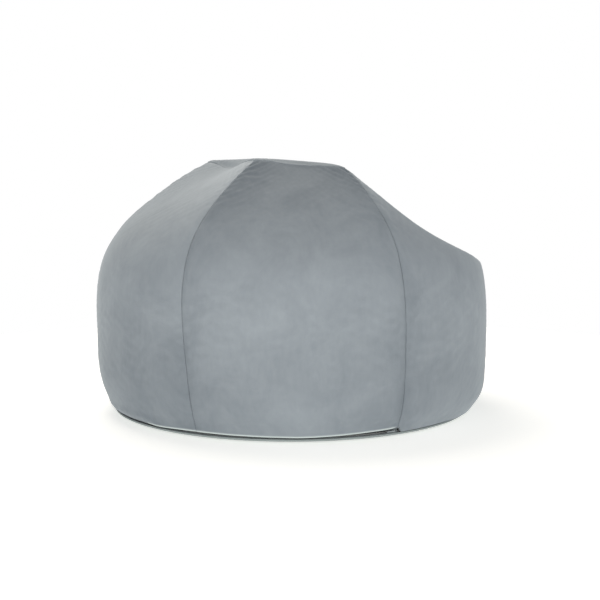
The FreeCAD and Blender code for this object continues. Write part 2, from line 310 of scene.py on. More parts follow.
def spline_rows(values, at):
    """Smooth values at shares from 0 to 1 of a table's first axis, whose rows are evenly spaced."""
    count = len(values)
    table = values.reshape(count, -1)
    matrix, right = np.eye(count), np.zeros_like(table)
    for k in range(1, count - 1):
        matrix[k, k - 1:k + 2] = 1, 4, 1
    right[1:-1] = 6 * (table[2:] - 2 * table[1:-1] + table[:-2])
    bend = np.linalg.solve(matrix, right)
    place = np.clip(at, 0, 1) * (count - 1)
    k = np.clip(np.ceil(place).astype(int) - 1, 0, count - 2)
    b = (place - k)[:, None]
    a = 1 - b
    smooth = a * table[k] + b * table[k + 1] + ((a ** 3 - a) * bend[k] + (b ** 3 - b) * bend[k + 1]) / 6
    return smooth.reshape(len(at), *values.shape[1:])


def resampled(grid, across, along):
    """The smooth surface through a grid, at new shares in both directions."""
    return np.swapaxes(spline_rows(np.swapaxes(spline_rows(grid, across), 0, 1), along), 0, 1)


def steps(length, spacing, start, end):
    """Shares of a span from 0 to 1: the given distances at its two ends and even spacing between them."""
    start, end = start / length, 1 - end[::-1] / length
    count = max(2, round((end[0] - start[-1]) * length / spacing))
    return np.concatenate([start, np.linspace(start[-1], end[0], count + 1)[1:-1], end])


def unit(vectors):
    return vectors / np.maximum(np.linalg.norm(vectors, axis=-1, keepdims=True), 1e-12)


def shared_normals(grids):
    """Outward normals at the points of several grids, the same on both sides of a shared border."""
    mesh, joined = sewn(grids)
    count = len(mesh.vertices)
    normals = np.zeros(count * 3)
    mesh.vertex_normals.foreach_get("vector", normals)
    bpy.data.meshes.remove(mesh)
    return split_like(grids, normals.reshape(count, 3)[joined])


def noise_at(points, scale, seed):
    """Smooth noise between about -1 and 1 at points, with bumps about scale metres across."""
    flat = points.reshape(-1, 3) / scale
    values = [noise.noise(Vector((x + seed, y, z))) for x, y, z in flat.tolist()]
    return np.array(values).reshape(points.shape[:-1])


def lengths(points, axis, reverse):
    """How far each grid point is from the grid's first or last border, along the surface."""
    if reverse:
        return np.flip(lengths(np.flip(points, axis), axis, False), axis)
    gaps = np.linalg.norm(np.diff(points, axis=axis), axis=-1)
    start = np.zeros_like(np.take(gaps, [0], axis))
    return np.concatenate([start, np.cumsum(gaps, axis=axis)], axis=axis)


def seam_depth(distance, radius):
    """The depth of the cloth near a seam, where it rolls inwards over a quarter of a circle."""
    short = np.clip(radius - distance, 0, radius)
    return radius - np.sqrt(np.maximum(radius ** 2 - short ** 2, 0))


def puckers(distance, along, seed):
    """Small ripples that run off a seam and die out within a few centimetres."""
    slow = 0.55 + 0.75 * noise_at(np.stack([along, along * 0, along * 0], axis=-1), 0.07, seed)
    wave = (np.sin(2 * np.pi * (along + 0.30 * distance) / 0.0131 + seed)
            + 0.7 * np.sin(2 * np.pi * (along - 0.22 * distance) / 0.0197 + 2.1 * seed)
            + 0.8 * np.sin(2 * np.pi * along / 0.043 + 1.3 * seed))
    return slow * wave * (0.25 + distance / 0.004) / (1.25 + distance / 0.004) * np.exp(-distance / 0.012)


def fold_under(points, normals, allowance):
    """Extra rows for a seam allowance beyond a grid's first row, and their normals."""
    inwards = unit(points[8] - points[0])
    inwards = unit(inwards - normals[0] * np.sum(inwards * normals[0], axis=-1, keepdims=True))
    rows = [points[0] + inwards * side - normals[0] * deep for side, deep in reversed(allowance)]
    return np.concatenate([rows, points]), np.concatenate([[normals[0]] * len(rows), normals])


def grid_mesh(name, grids, **marks):
    """A new object from grids of points, with their shared borders joined. Each mark is a named value at
    every point, for a material."""
    points, first, _, faces = join_grids(grids, 6)
    faces = [list(dict.fromkeys(face)) for face in faces]
    mesh = bpy.data.meshes.new(name)
    mesh.from_pydata(points.tolist(), [], [face for face in faces if len(face) > 2])
    mesh.polygons.foreach_set("use_smooth", [True] * len(mesh.polygons))
    for label, mark in marks.items():
        values = mesh.attributes.new(label, "FLOAT", "POINT")
        values.data.foreach_set("value", mark.ravel()[first])
    obj = bpy.data.objects.new(name, mesh)
    bpy.context.scene.collection.objects.link(obj)
    return obj


def thicken(obj, thickness):
    """Gives a cloth its thickness, inwards from its outer face."""
    solid = obj.modifiers.new("thickness", "SOLIDIFY")
    solid.thickness = thickness
    solid.offset = -1


def linear(hex_colour):
    """An sRGB hex colour as the linear one that shader sockets take."""
    channels = [int(hex_colour[k:k + 2], 16) / 255 for k in (1, 3, 5)]
    return [c / 12.92 if c <= 0.04045 else ((c + 0.055) / 1.055) ** 2.4 for c in channels] + [1]


def add_node(tree, kind, settings={}, inputs={}):
    """Adds a node with its settings. An input is a value, or a link from another node's output."""
    node = tree.nodes.new(kind)
    for key, value in settings.items():
        setattr(node, key, value)
    for key, value in inputs.items():
        if isinstance(value, bpy.types.NodeSocket):
            tree.links.new(value, node.inputs[key])
        else:
            node.inputs[key].default_value = value
    return node


def new_material(name):
    """A material with no nodes yet, and its tree."""
    material = bpy.data.materials.new(name)
    material.use_nodes = True
    material.node_tree.nodes.clear()
    return material, material.node_tree


def set_surface(tree, look):
    """Ends a material with its shader, whose inputs are given, and its output node."""
    shader = add_node(tree, "ShaderNodeBsdfPrincipled", {}, look)
    add_node(tree, "ShaderNodeOutputMaterial", {}, {"Surface": shader.outputs[0]})


# Polyester velvet, brushed one way: matt, with a soft sheen at its edges. The pile lies in slightly
# different directions from hand to hand, which gives broad pale and dark patches and a faint fine grain.
# Its single fibres of 20 microns are too fine to show, so tufts are drawn about 2 mm across.
velvet, tree = new_material("brushed_polyester_velvet")
place = add_node(tree, "ShaderNodeTexCoord").outputs["Object"]
patches = add_node(tree, "ShaderNodeTexNoise", {}, {"Vector": place, "Scale": 1 / 0.11, "Detail": 4.0,
                                                    "Roughness": 0.62, "Distortion": 0.6})
stretched = add_node(tree, "ShaderNodeMapping", {}, {"Vector": place, "Scale": (1, 1, 0.35)})
strokes = add_node(tree, "ShaderNodeTexNoise", {}, {"Vector": stretched.outputs[0], "Scale": 1 / 0.012,
                                                    "Detail": 3.0, "Roughness": 0.6})
tufts = add_node(tree, "ShaderNodeTexNoise", {}, {"Vector": place, "Scale": 1 / 0.002, "Detail": 2.0})
# A pale line is painted along the flap's folded edge: a painted highlight.
fold_highlight = add_node(tree, "ShaderNodeAttribute", {"attribute_name": "fold_light"})
# Painted light and shade: each gore's colour drawn paler or darker by height and side, and darker beside
# its seams
pile = add_node(tree, "ShaderNodeAttribute", {"attribute_name": "pile_tone"})
patch_tone = add_node(tree, "ShaderNodeMapRange", {}, {"Value": patches.outputs["Fac"], "From Min": 0.30,
                                                       "From Max": 0.70, "To Min": 0.41, "To Max": 0.59})
stroke_tone = add_node(tree, "ShaderNodeMath", {"operation": "MULTIPLY_ADD"},
                       {0: strokes.outputs["Fac"], 1: 0.14, 2: -0.07})
mottled = add_node(tree, "ShaderNodeMath", {"operation": "ADD"}, {0: patch_tone.outputs[0],
                                                                  1: stroke_tone.outputs[0]})
tone = add_node(tree, "ShaderNodeMath", {"operation": "ADD", "use_clamp": True},
                {0: mottled.outputs[0], 1: pile.outputs["Fac"]})
cloth_colour = add_node(tree, "ShaderNodeMix", {"data_type": "RGBA"},
                        {0: tone.outputs[0], 6: linear("#5b646c"), 7: linear("#a8afb4")})
fold_highlight_colour = add_node(tree, "ShaderNodeMix", {"data_type": "RGBA"},
                       {0: fold_highlight.outputs["Fac"], 6: cloth_colour.outputs[2], 7: linear("#c9d3d1")})
grain = add_node(tree, "ShaderNodeBump", {}, {"Height": tufts.outputs["Fac"], "Strength": 0.25,
                                              "Distance": 0.0005})
nap = add_node(tree, "ShaderNodeBump", {}, {"Height": strokes.outputs["Fac"], "Strength": 0.06,
                                            "Distance": 0.002, "Normal": grain.outputs[0]})
set_surface(tree, {"Base Color": fold_highlight_colour.outputs[2], "Roughness": 0.92, "Normal": nap.outputs[0],
                   "Specular IOR Level": 0.25, "Sheen Weight": 0.35, "Sheen Roughness": 0.45,
                   "Sheen Tint": linear("#dfe6ea")})


def over_zip(degrees, start, end, ramp):
    """How far an angle is inside a zipper's stretch: 1 over the zipper, 0 away from it."""
    return smooth_step(start - ramp, start, degrees) * (1 - smooth_step(end, end + ramp, degrees))


def foot_shape(points):
    """Shapes the lowest few centimetres: a flap over the zipper, lifted at the slider's parking place,
    and a fuller roll beside the zipper's start."""
    x, y, z = points[..., 0], points[..., 1], points[..., 2]
    degrees = np.degrees(np.arctan2(y, x)) % 360
    radius = np.hypot(x, y)
    flap = over_zip(degrees, FLAP_START, FLAP_END, FLAP_RAMP)
    port = over_zip(degrees, PORT_START, PORT_END, PORT_RAMP)
    lift = (FLAP_LIFT + LIFT_AT_START * bell(degrees, 122, 12)
            + LIFT_AT_END * np.clip((degrees - 150) / 30, 0, 1) ** 1.5)
    roll = over_zip(degrees, ROLL_START, ROLL_END, ROLL_RAMP)
    low = 1 - smooth_step(0.012, 0.045, z)
    radius = radius + FLAP_OUT * np.maximum(flap, port) * low
    radius = radius + FLAP_EDGE_OUT * flap * (1 - smooth_step(0.010, 0.019, z))
    radius = radius + roll * (ROLL_OUT * bell(z, 0.028, 0.013)
                              - ROLL_TUCK * (1 - smooth_step(0.009, 0.020, z)))
    z = z + (FOOT_RISE + lift * np.maximum(flap, port)) * (1 - smooth_step(0.012, 0.060, z))
    angle = np.radians(degrees)
    return np.stack([radius * np.cos(angle), radius * np.sin(angle), z], axis=-1), flap


def draped_surface(grid, normals, across, along, seed):
    """A fine sewn surface from a coarse grid: soft unevenness, puckers and grooves at its seams."""
    points = resampled(grid, across, along)
    normals = unit(resampled(normals, across, along))
    left, right = lengths(points, 0, False), lengths(points, 0, True)
    top, foot = lengths(points, 1, True), lengths(points, 1, False)
    uneven = UNEVEN * noise_at(points, 0.19, 3) + FINE_UNEVEN * noise_at(points, 0.06, 11)
    ripple = PUCKER * (puckers(left, foot, seed) + puckers(right, foot, seed + 1)
                       + puckers(top, left, seed + 2))
    depth = np.maximum(np.maximum(seam_depth(left, GROOVE), seam_depth(right, GROOVE)),
                       seam_depth(top, GROOVE))
    return points + normals * (uneven + ripple - depth)[..., None], normals


cover_normals = shared_normals(cover_grids)
gore_across = steps(GORE_WIDTH, 0.007, NEAR_SEAM, NEAR_SEAM)
gore_along = steps(GORE_LENGTH, 0.004, NEAR_FOOT, NEAR_SEAM)
for number, name in enumerate(GORES):
    surface, normals = draped_surface(cover_grids[number], cover_normals[number],
                                      gore_across, gore_along, 10 * number)
    surface, flap = foot_shape(surface)
    for _ in range(2):
        surface, normals = fold_under(surface, normals, ALLOWANCE)
        surface, normals = surface[::-1], normals[::-1]
    flap = np.concatenate([[flap[0]] * len(ALLOWANCE), flap, [flap[-1]] * len(ALLOWANCE)])
    surface, normals = np.swapaxes(surface, 0, 1)[::-1], np.swapaxes(normals, 0, 1)[::-1]
    surface, normals = fold_under(surface, normals, ALLOWANCE)
    surface = surface[::-1]
    foot = surface[0]
    inwards = -unit(foot * [1, 1, 0])
    weight = flap[:, :1]
    rows = []
    for (flap_in, flap_up), (foot_in, foot_up) in zip(FLAP_FOLD, FOOT_FOLD):
        side = flap_in * weight + foot_in * (1 - weight)
        rise = flap_up * weight + foot_up * (1 - weight)
        rows.append(foot + inwards * side + np.array([0, 0, 1]) * rise)
    surface = np.swapaxes(np.concatenate([rows[::-1], surface]), 0, 1)
    from_fold = surface[..., 2] - foot[:, None, 2]
    from_edge = lengths(surface, 1, False)
    # Painted highlight: a pale line along the flap's folded edge, where the pile would catch the light
    light = weight * bell(np.maximum(from_fold, 0), 0, FOLD_HIGHLIGHT_SPAN) * (from_edge > 0.010)
    share = from_edge / GORE_LENGTH
    side = np.linspace(0, 1, len(surface))[:, None]
    # Painted light and shade: paler or darker by height and on one side of the top, and painted shade
    # beside the seams
    low, middle, high, high_side, beside_seams = GORE_PAINTED_SHADING[name]
    pile = np.where(share < 0.5, low + (middle - low) * smooth_step(0, 0.5, share),
                    middle + (high - middle) * smooth_step(0.5, 1, share))
    pile = pile + high_side * smooth_step(0.05, 0.92, share) * smooth_step(0.35, 1, side)
    pile = pile - beside_seams * (2 * side - 1) ** 2
    piece = grid_mesh("cover_" + name, [surface], fold_light=light, pile_tone=pile)
    thicken(piece, COVER_CLOTH)
    piece.data.materials.append(velvet)
    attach(piece, "bag")
    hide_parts(name)


# ---------------------------------------------------------------------------------------------------
# The hexagonal cap that closes the top, of the same velvet. The bag's owner sits in front of it, so its
# front half hangs down the backrest and takes part of the seat's slope.

cap_across = steps(0.40, 0.007, NEAR_SEAM, NEAR_SEAM)
cap_along = steps(0.20, 0.006, NEAR_PLAIN_EDGE, NEAR_SEAM)
cap_halves = []
for half in (6, 7):
    surface, normals = draped_surface(cover_grids[half], cover_normals[half],
                                      cap_across, cap_along, 70 + half)
    for _ in range(2):
        surface, normals = fold_under(surface, normals, ALLOWANCE)
        surface, normals = surface[::-1], normals[::-1]
    surface, normals = np.swapaxes(surface, 0, 1)[::-1], np.swapaxes(normals, 0, 1)[::-1]
    surface = fold_under(surface, normals, ALLOWANCE)[0][::-1]
    cap_halves.append(np.swapaxes(surface, 0, 1))
piece = grid_mesh("cover_top_cap", cap_halves)
thicken(piece, COVER_CLOTH)
piece.data.materials.append(velvet)
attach(piece, "bag")
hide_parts("top_cap")


# ---------------------------------------------------------------------------------------------------
# The round base: a tougher, flat-woven polyester in the same grey. It lies flat on the floor and its edge
# curls up to the gores, where it shows as a narrow band under the flap.

BASE_PROFILE = [(0.3850, 0), (0.4100, 0), (0.4250, 0.0004), (0.4370, 0.0015), (0.4455, 0.0034),
                (0.4515, 0.0055), (0.4548, 0.0075), (0.4557, 0.0091), (0.4548, 0.0103), (0.4528, 0.0108),
                (0.4506, 0.0109)]
BASE_CLOTH = 0.0009
BASE_SLICES = 360
FLAT_RINGS = (0.0001, 0.12, 0.3, 0.48, 0.64, 0.78, 0.9)

# Plain weave, matt. Its threads are 0.6 mm apart and are drawn 1.2 mm apart so that they show.
base_weave, tree = new_material("woven_polyester_base_cloth")
place = add_node(tree, "ShaderNodeTexCoord").outputs["Object"]
threads = [add_node(tree, "ShaderNodeTexWave", {"bands_direction": direction},
                    {"Vector": place, "Scale": 2 * math.pi / 20 / 0.0012, "Distortion": 0.4, "Detail": 1.0})
           for direction in ("X", "Y", "Z")]
crossing = add_node(tree, "ShaderNodeMath", {"operation": "MULTIPLY"},
                    {0: threads[0].outputs["Fac"], 1: threads[1].outputs["Fac"]})
both = add_node(tree, "ShaderNodeMath", {"operation": "ADD"}, {0: crossing.outputs[0],
                                                               1: threads[2].outputs["Fac"]})
patches = add_node(tree, "ShaderNodeTexNoise", {}, {"Vector": place, "Scale": 1 / 0.06, "Detail": 4.0})
colour = add_node(tree, "ShaderNodeMix", {"data_type": "RGBA"},
                  {0: patches.outputs["Fac"], 6: linear("#8a9393"), 7: linear("#9aa3a2")})
bump = add_node(tree, "ShaderNodeBump", {}, {"Height": both.outputs[0], "Strength": 0.4,
                                             "Distance": 0.0003})
set_surface(tree, {"Base Color": colour.outputs[2], "Roughness": 0.85, "Normal": bump.outputs[0],
                   "Specular IOR Level": 0.3, "Sheen Weight": 0.15, "Sheen Roughness": 0.5})


def turned_cloth(name, profile, slices, unevenness):
    """A round cloth from its profile of radius and height, closed by rings over its flat middle."""
    middle = [(profile[0][0] * share, profile[0][1]) for share in FLAT_RINGS]
    radius, height = np.array(middle + profile).T
    angle = np.linspace(0, 2 * np.pi, slices + 1)[:, None]
    x, y = radius * np.cos(angle), radius * np.sin(angle)
    wobble = unevenness * noise_at(np.stack([x, y, x * 0], axis=-1), 0.05, 23)
    edge = np.clip(height / 0.006, 0, 1)
    x, y = x * (1 + wobble * edge / 0.45), y * (1 + wobble * edge / 0.45)
    height = height + 0.35 * wobble * edge
    points = np.stack([x, y, height + 0 * x], axis=-1)
    points[-1] = points[0]
    points[:, 0, :2] = 0
    return grid_mesh(name, [points])


piece = turned_cloth("cover_base", BASE_PROFILE, BASE_SLICES, 0.0012)
thicken(piece, BASE_CLOTH)
piece.data.materials.append(base_weave)
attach(piece, "bag")
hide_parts("base_panel")


# ---------------------------------------------------------------------------------------------------
# The liner that holds the beads when the cover is washed: six gores, a cap and a base of thin spunbond
# cloth, cut a little smaller than the cover and loose enough to crease. Its own zipper is in the foot of
# its left back gore.

LINER_DEPTH = 0.0058
LINER_CLOTH = 0.0004
LINER_CREASES = 0.0009
LINER_ZIP_LIFT = 0.0075
MIDDLE = np.array([0, -0.040, 0.120])
FOOT_ROOM, FOOT_ROOM_HEIGHT = 0.016, 0.070
SEAT_ROOM = 0.004
LINER_ZIP_START, LINER_ZIP_END = 15.0, 62.0
LINER_BASE_PROFILE = [(0.4000, 0.0042), (0.4150, 0.0042), (0.4240, 0.0044), (0.4320, 0.0057),
                      (0.4365, 0.0082), (0.4385, 0.0110), (0.4380, 0.0121)]

# Spunbond polypropylene: white, thin and a little glossy, bonded in a grid of dots 2 mm apart.
spunbond, tree = new_material("white_spunbond_polypropylene")
place = add_node(tree, "ShaderNodeTexCoord").outputs["Object"]
dots = add_node(tree, "ShaderNodeTexVoronoi", {}, {"Vector": place, "Scale": 1 / 0.002, "Randomness": 0.25})
fibres = add_node(tree, "ShaderNodeTexNoise", {}, {"Vector": place, "Scale": 1 / 0.004, "Detail": 6.0,
                                                   "Roughness": 0.7})
colour = add_node(tree, "ShaderNodeMix", {"data_type": "RGBA"},
                  {0: fibres.outputs["Fac"], 6: linear("#d9dbd8"), 7: linear("#f0f1ee")})
bump = add_node(tree, "ShaderNodeBump", {}, {"Height": dots.outputs["Distance"], "Strength": 0.3,
                                             "Distance": 0.0003})
set_surface(tree, {"Base Color": colour.outputs[2], "Roughness": 0.6, "Normal": bump.outputs[0],
                   "Sheen Weight": 0.1})


def at_depth(points, depth):
    """The same points deeper in the bag. What is inside keeps clear of the cover's foot, and lies lower
    under the seat's tight lip and the top."""
    depth = depth + FOOT_ROOM * np.clip(1 - points[..., 2:] / FOOT_ROOM_HEIGHT, 0, 1)
    lower = SEAT_ROOM * smooth_step(0.26, 0.35, points[..., 2:]) * np.array([0, 0, 1])
    return points + unit(MIDDLE - points) * depth - lower


def inner_surface(number, depth, across, along, creases):
    """A layer under the cover: a piece's surface, deeper in, with its own creases."""
    points = at_depth(resampled(cover_grids[number], across, along), depth)
    bumps = creases * (noise_at(points, 0.028, 31) + 0.5 * noise_at(points, 0.011, 37) - 0.8)
    return points + unit(points - MIDDLE) * bumps[..., None]


liner_across = steps(0.48, 0.012, NEAR_PLAIN_EDGE, NEAR_PLAIN_EDGE)
liner_along = steps(0.78, 0.012, NEAR_PLAIN_EDGE, NEAR_PLAIN_EDGE)
for number, name in enumerate(GORES):
    surface = inner_surface(number, LINER_DEPTH, liner_across, liner_along, LINER_CREASES)
    degrees = np.degrees(np.arctan2(surface[..., 1], surface[..., 0])) % 360
    lift = over_zip(degrees, LINER_ZIP_START, LINER_ZIP_END, 2.5)
    surface[..., 2] += LINER_ZIP_LIFT * lift * (1 - smooth_step(0.014, 0.050, surface[..., 2]))
    piece = grid_mesh("liner_cloth_" + name, [surface])
    thicken(piece, LINER_CLOTH)
    piece.data.materials.append(spunbond)
    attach(piece, "bag")
    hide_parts("liner_" + name)

liner_cap_along = steps(0.20, 0.010, NEAR_PLAIN_EDGE, NEAR_PLAIN_EDGE)
halves = [inner_surface(half, LINER_DEPTH, liner_across, liner_cap_along, LINER_CREASES)
          for half in (6, 7)]
piece = grid_mesh("liner_cloth_cap", halves)
thicken(piece, LINER_CLOTH)
piece.data.materials.append(spunbond)
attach(piece, "bag")
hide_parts("liner_cap")

piece = turned_cloth("liner_cloth_base", LINER_BASE_PROFILE, 120, 0.0006)
thicken(piece, LINER_CLOTH)
piece.data.materials.append(spunbond)
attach(piece, "bag")
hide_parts("liner_base")


# ---------------------------------------------------------------------------------------------------
# The filling: expanded polystyrene beads, 3 to 6 mm across, poured into the liner. They take its shape,
# pack against it in small lumps and spread flat on the base.

FILL_DEPTH = 0.0095
FILL_FLOOR = 0.0080
FILL_LUMPS = 0.0011
FILL_BOTTOM = [(0.965, 0.0270), (0.940, 0.0150), (0.915, 0.0095), (0.88, 0.0), (0.70, 0.0), (0.45, 0.0),
               (0.20, 0.0), (0.0, 0.0)]

# Polystyrene foam beads: white, closed-cell, matt and slightly see-through. Each bead shows as a dome.
beads, tree = new_material("expanded_polystyrene_beads")
place = add_node(tree, "ShaderNodeTexCoord").outputs["Object"]
domes = add_node(tree, "ShaderNodeTexVoronoi", {}, {"Vector": place, "Scale": 1 / 0.0045})
height = add_node(tree, "ShaderNodeMath", {"operation": "MULTIPLY"},
                  {0: domes.outputs["Distance"], 1: -1.0})
# Each bead is drawn paler at its middle and darker towards its rim: painted shade where the beads meet.
colour = add_node(tree, "ShaderNodeMapRange", {}, {"Value": domes.outputs["Distance"], "From Max": 0.9,
                                                   "To Min": 1.0, "To Max": 0.0})
tone = add_node(tree, "ShaderNodeMix", {"data_type": "RGBA"},
                {0: colour.outputs[0], 6: linear("#bfc2c2"), 7: linear("#f6f7f6")})
bump = add_node(tree, "ShaderNodeBump", {}, {"Height": height.outputs[0], "Strength": 0.9,
                                             "Distance": 0.0022})
set_surface(tree, {"Base Color": tone.outputs[2], "Roughness": 0.7, "Normal": bump.outputs[0],
                   "Subsurface Weight": 0.2, "Subsurface Scale": 0.002})

fill_across = np.linspace(0, 1, 73)
fill_grids = []
for number in range(6):
    side = inner_surface(number, FILL_DEPTH, fill_across, np.linspace(0.035, 1, 100), FILL_LUMPS)
    foot = side[:, :1]
    bottom = [foot * [share, share, 0] + [0, 0, max(rise, FILL_FLOOR)] for share, rise in FILL_BOTTOM]
    fill_grids.append(np.concatenate(bottom[::-1] + [side], axis=1))
for half in (6, 7):
    fill_grids.append(inner_surface(half, FILL_DEPTH, fill_across, np.linspace(0, 1, 37), FILL_LUMPS))
piece = grid_mesh("polystyrene_beads", fill_grids)
piece.data.materials.append(beads)
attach(piece, "bag")
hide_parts("bead_fill")


# ---------------------------------------------------------------------------------------------------
# The zippers: nylon coil on woven tapes, the cover's in its foot at the back and the liner's in its left
# back gore. Each row is one nylon wire wound in loops; the tape is sewn into the foot above and the base
# below. The slider has no lock, so the cover's pull hangs loose on it.

# For each: arc radius, height, start and end in degrees, scale, and the tapes' reach up and down
ZIPS = [("zip", 0.4490, 0.0148, ZIP_START, ZIP_END, 1.0, 0.0120, 0.0058),
        ("liner_zip", 0.4356, 0.0172, LINER_ZIP_START, LINER_ZIP_END, 0.8, 0.0080, 0.0058)]
COIL_OFFSET, COIL_WIDTH, COIL_PITCH, COIL_WIRE = 0.0019, 0.0017, 0.0016, 0.00024
COIL_LEAN, COIL_MARGIN = 0.35, 1.2
TAPE_THICKNESS = 0.0006

# Nylon wire: moulded, smooth and half-glossy, dyed grey like the cover.
nylon, tree = new_material("dyed_nylon_coil")
place = add_node(tree, "ShaderNodeTexCoord").outputs["Object"]
grain = add_node(tree, "ShaderNodeTexNoise", {}, {"Vector": place, "Scale": 1 / 0.003})
colour = add_node(tree, "ShaderNodeMix", {"data_type": "RGBA"},
                  {0: grain.outputs["Fac"], 6: linear("#6d7578"), 7: linear("#7d8588")})
set_surface(tree, {"Base Color": colour.outputs[2], "Roughness": 0.38, "IOR": 1.53})

# Polyester tape: herringbone woven, with ridges across it that are 0.5 mm apart and are drawn 1 mm apart.
webbing, tree = new_material("herringbone_polyester_tape")
place = add_node(tree, "ShaderNodeUVMap", {"uv_map": "tape_place"}).outputs[0]
ridges = add_node(tree, "ShaderNodeTexWave", {"bands_direction": "DIAGONAL"},
                  {"Vector": place, "Scale": 2 * math.pi / 20 / 0.001, "Distortion": 0.3})
grain = add_node(tree, "ShaderNodeTexNoise", {}, {"Vector": place, "Scale": 1 / 0.008, "Detail": 3.0})
tone = add_node(tree, "ShaderNodeMath", {"operation": "MULTIPLY_ADD"},
                {0: ridges.outputs["Fac"], 1: 0.5, 2: grain.outputs["Fac"]})
colour = add_node(tree, "ShaderNodeMix", {"data_type": "RGBA"},
                  {0: tone.outputs[0], 6: linear("#61696c"), 7: linear("#7b8386")})
bump = add_node(tree, "ShaderNodeBump", {}, {"Height": ridges.outputs["Fac"], "Strength": 0.5,
                                             "Distance": 0.0002})
set_surface(tree, {"Base Color": colour.outputs[2], "Roughness": 0.8, "Normal": bump.outputs[0],
                   "Sheen Weight": 0.1})

# Die-cast zinc, painted grey: a smooth coat with a faint orange peel.
painted, tree = new_material("painted_die_cast_zinc")
place = add_node(tree, "ShaderNodeTexCoord").outputs["Object"]
peel = add_node(tree, "ShaderNodeTexNoise", {}, {"Vector": place, "Scale": 1 / 0.0012, "Detail": 2.0})
colour = add_node(tree, "ShaderNodeMix", {"data_type": "RGBA"},
                  {0: peel.outputs["Fac"], 6: linear("#7d8487"), 7: linear("#8f9698")})
bump = add_node(tree, "ShaderNodeBump", {}, {"Height": peel.outputs["Fac"], "Strength": 0.2,
                                             "Distance": 0.0001})
set_surface(tree, {"Base Color": colour.outputs[2], "Roughness": 0.33, "Metallic": 0.4,
                   "Normal": bump.outputs[0]})


def coil_nodes():
    """Nodes that wind a coil: loops of wire, each one leaning a little, set along a level arc."""
    group = bpy.data.node_groups.new("zip_coil", "GeometryNodeTree")
    group.interface.new_socket("Geometry", in_out="OUTPUT", socket_type="NodeSocketGeometry")
    for label in ("Arc radius", "Arc height", "Arc start", "Arc sweep", "Pitch", "Loop width", "Wire"):
        group.interface.new_socket(label, in_out="INPUT", socket_type="NodeSocketFloat")
    group.interface.new_socket("Material", in_out="INPUT", socket_type="NodeSocketMaterial")
    given = add_node(group, "NodeGroupInput").outputs
    arc = add_node(group, "GeometryNodeCurveArc", {}, {"Resolution": 200, "Radius": given["Arc radius"],
                                                       "Start Angle": given["Arc start"],
                                                       "Sweep Angle": given["Arc sweep"]})
    spaced = add_node(group, "GeometryNodeResampleCurve", {"mode": "LENGTH"},
                      {"Curve": arc.outputs["Curve"], "Length": given["Pitch"]})
    lift = add_node(group, "ShaderNodeCombineXYZ", {}, {"Z": given["Arc height"]})
    raised = add_node(group, "GeometryNodeSetPosition", {}, {"Geometry": spaced.outputs[0],
                                                             "Offset": lift.outputs[0]})
    along = add_node(group, "GeometryNodeInputTangent")
    facing = add_node(group, "FunctionNodeAlignEulerToVector", {"axis": "Z"}, {"Vector": along.outputs[0]})
    lean = add_node(group, "FunctionNodeRotateEuler", {"space": "LOCAL"},
                    {"Rotation": facing.outputs[0], "Rotate By": (COIL_LEAN, 0, 0)})
    half = add_node(group, "ShaderNodeMath", {"operation": "MULTIPLY"}, {0: given["Loop width"], 1: 0.5})
    loop = add_node(group, "GeometryNodeCurvePrimitiveCircle", {}, {"Resolution": 8,
                                                                    "Radius": half.outputs[0]})
    section = add_node(group, "GeometryNodeCurvePrimitiveCircle", {}, {"Resolution": 4,
                                                                       "Radius": given["Wire"]})
    wire = add_node(group, "GeometryNodeCurveToMesh", {}, {"Curve": loop.outputs["Curve"],
                                                           "Profile Curve": section.outputs["Curve"]})
    placed = add_node(group, "GeometryNodeInstanceOnPoints", {},
                      {"Points": raised.outputs[0], "Instance": wire.outputs[0],
                       "Rotation": lean.outputs[0]})
    made = add_node(group, "GeometryNodeRealizeInstances", {}, {"Geometry": placed.outputs[0]})
    dyed = add_node(group, "GeometryNodeSetMaterial", {}, {"Geometry": made.outputs[0],
                                                           "Material": given["Material"]})
    add_node(group, "NodeGroupOutput", {}, {"Geometry": dyed.outputs[0]})
    return group


def from_nodes(name, group, values):
    """A plain mesh object made by a node tree with the given values at its named inputs."""
    holder = bpy.data.objects.new(name + "_maker", bpy.data.meshes.new(name + "_maker"))
    bpy.context.scene.collection.objects.link(holder)
    modifier = holder.modifiers.new("maker", "NODES")
    modifier.node_group = group
    for item in group.interface.items_tree:
        if item.in_out == "INPUT" and item.name in values:
            modifier[item.identifier] = values[item.name]
    evaluated = holder.evaluated_get(bpy.context.evaluated_depsgraph_get())
    mesh = bpy.data.meshes.new_from_object(evaluated)
    mesh.name = name
    mesh.polygons.foreach_set("use_smooth", [True] * len(mesh.polygons))
    bpy.data.objects.remove(holder)
    obj = bpy.data.objects.new(name, mesh)
    bpy.context.scene.collection.objects.link(obj)
    return obj


def tape_piece(name, radius, low, high, start, end):
    """A tape bent along an arc, gently wavy, with its own measure along and across it for the weave."""
    angle = np.radians(np.linspace(start, end, round((end - start) * 3) + 1))[:, None]
    share = np.linspace(0, 1, 6)
    wave = 0.00012 * np.sin(angle * 140) * share
    x, y = (radius + wave) * np.cos(angle), (radius + wave) * np.sin(angle)
    height = low + (high - low) * share + 0 * angle
    piece = grid_mesh(name, [np.stack([x, y, height], axis=-1)])
    thicken(piece, TAPE_THICKNESS)
    uv = piece.data.uv_layers.new(name="tape_place")
    corners = np.array([piece.data.vertices[loop.vertex_index].co for loop in piece.data.loops])
    around = (np.arctan2(corners[:, 1], corners[:, 0]) % (2 * np.pi)) * radius
    uv.data.foreach_set("uv", np.stack([around, corners[:, 2]], axis=-1).ravel())
    return piece


